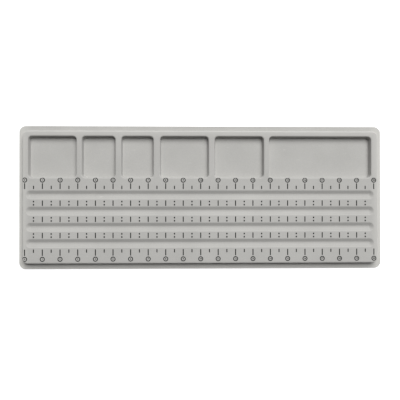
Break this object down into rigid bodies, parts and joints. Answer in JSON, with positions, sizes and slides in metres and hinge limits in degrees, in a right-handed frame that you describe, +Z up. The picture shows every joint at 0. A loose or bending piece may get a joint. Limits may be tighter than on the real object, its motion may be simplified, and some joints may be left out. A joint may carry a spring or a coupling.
{
  "type": "bead design board",
  "caption": "Flat flocked tray with a row of sorting compartments, straight bead grooves and printed inch scales, formed from one sheet.",
  "frame": {"origin": "centre of the footprint, on the table", "axes": "+X along the length from the 0 mark to the 20 mark, +Y towards the compartments, +Z up"},
  "size_m": [0.533, 0.2094, 0.0127],
  "materials": {
    "polystyrene": "bare vacuum formed sheet",
    "flock": "short grey flock with black printed scales"
  },
  "bodies": {
    "root": {"tray_shell": "polystyrene", "flock_coat": "flock"}
  },
  "joints": []
}
